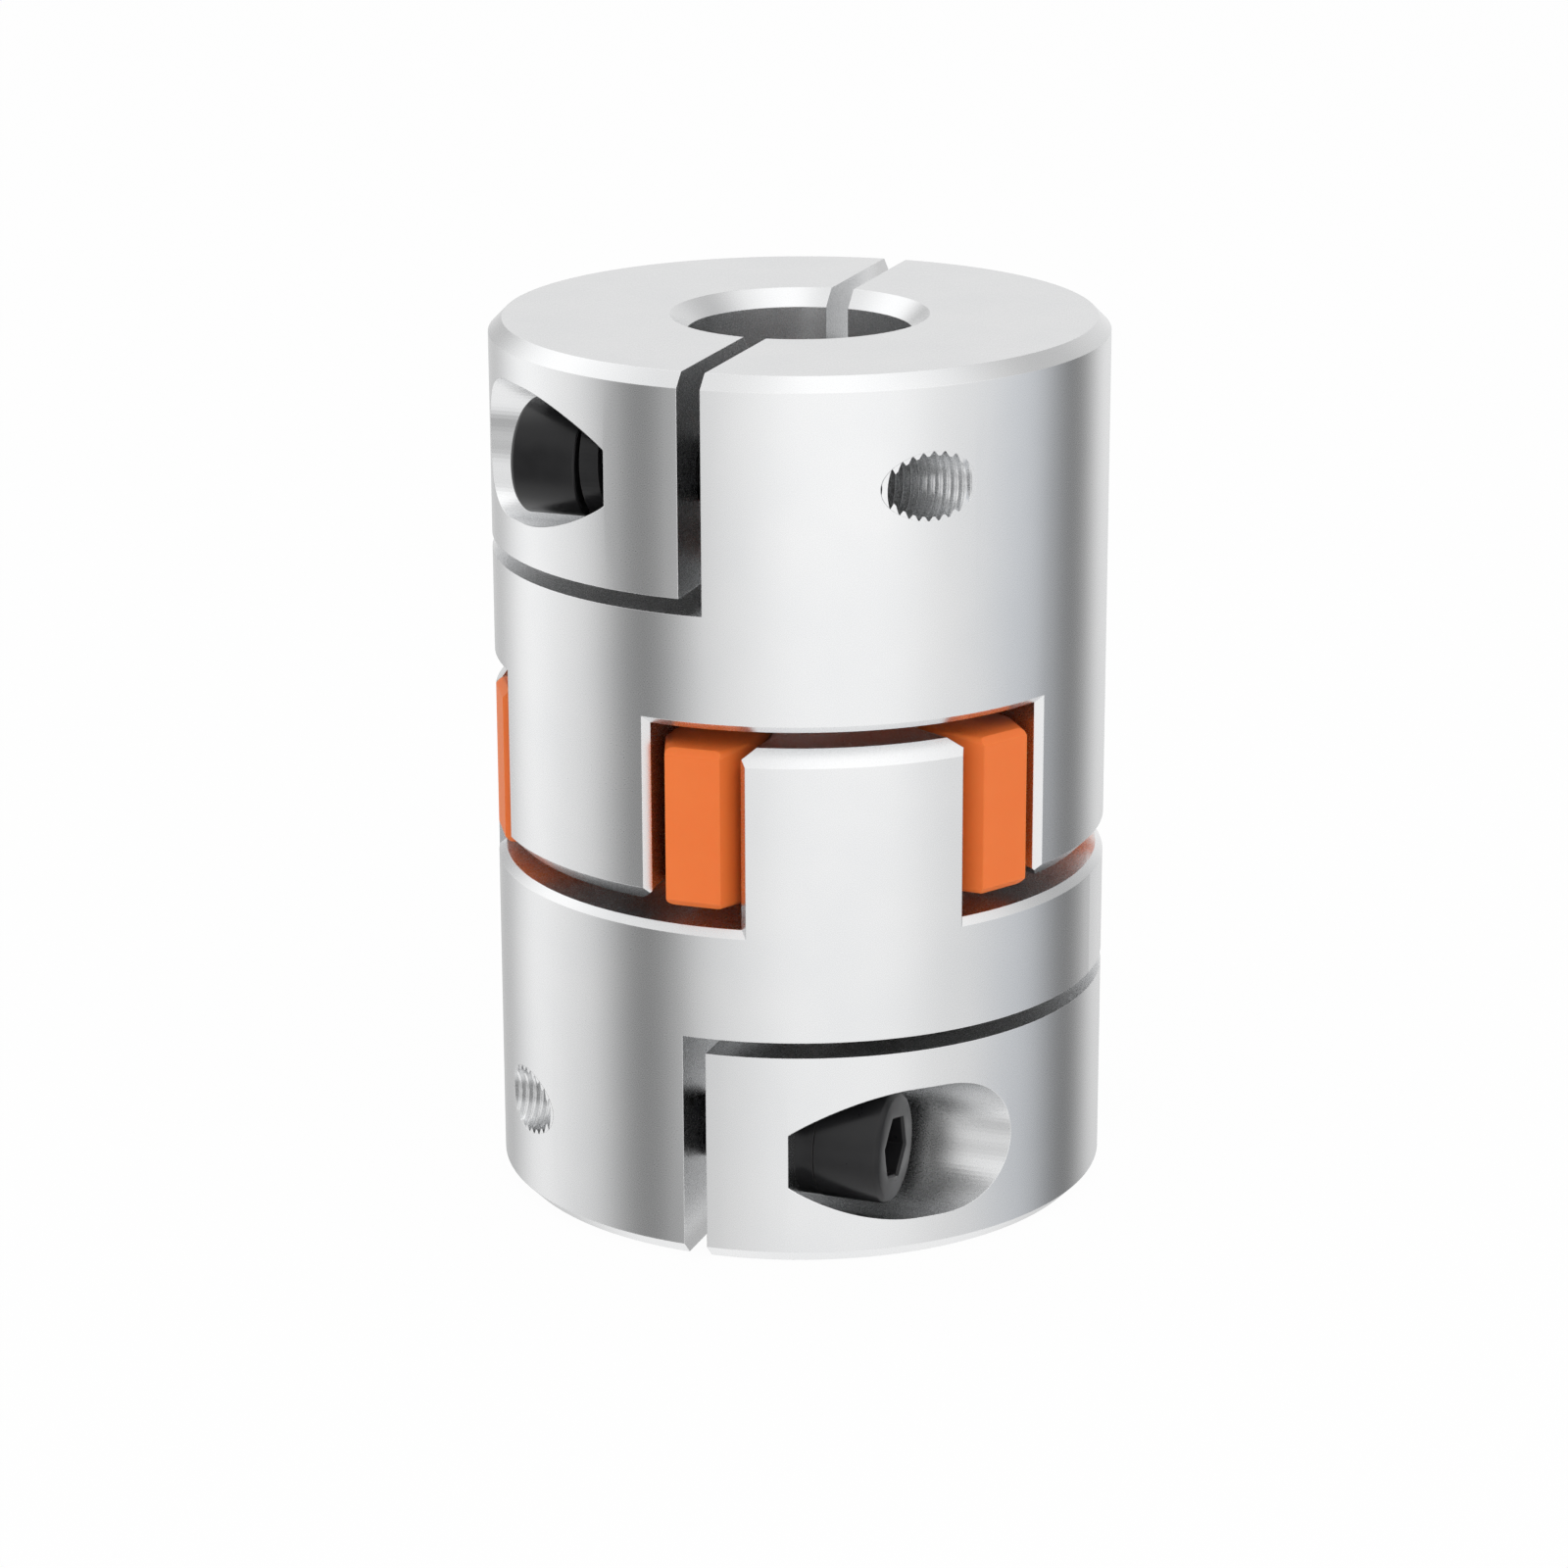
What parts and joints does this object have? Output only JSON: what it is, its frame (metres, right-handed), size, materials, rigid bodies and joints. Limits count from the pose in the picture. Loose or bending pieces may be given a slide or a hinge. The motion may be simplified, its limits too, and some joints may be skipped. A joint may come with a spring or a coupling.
{
  "type": "shaft coupling",
  "caption": "Backlash-free jaw coupling: two split clamping hubs whose jaws grip a soft spider between them, with socket-head clamp screws across each bore.",
  "frame": {"origin": "Centre of the lower hub's end face, on the shaft axis, on the surface that the coupling stands on.", "axes": "+Z is the shaft axis, from the lower hub to the upper one. The clamp slit runs along Y and faces the front at -Y. The clamp screws run along X: the lower hub's heads face +X and the upper hub's heads face -X."},
  "size_m": [0.055, 0.055, 0.0792],
  "materials": {
    "aluminium": "fine turned and milled, satin",
    "elastomer": "moulded polyurethane, satin orange",
    "black_steel": "black oxide"
  },
  "bodies": {
    "root": {"lower_hub": "aluminium", "lower_clamp_shell": "aluminium", "upper_hub": "aluminium", "upper_clamp_shell": "aluminium", "spider": "elastomer", "screw_lower_front": "black_steel", "screw_lower_back": "black_steel", "screw_upper_front": "black_steel", "screw_upper_back": "black_steel", "washer_lower_front": "black_steel", "washer_lower_back": "black_steel", "washer_upper_front": "black_steel", "washer_upper_back": "black_steel"}
  },
  "joints": []
}
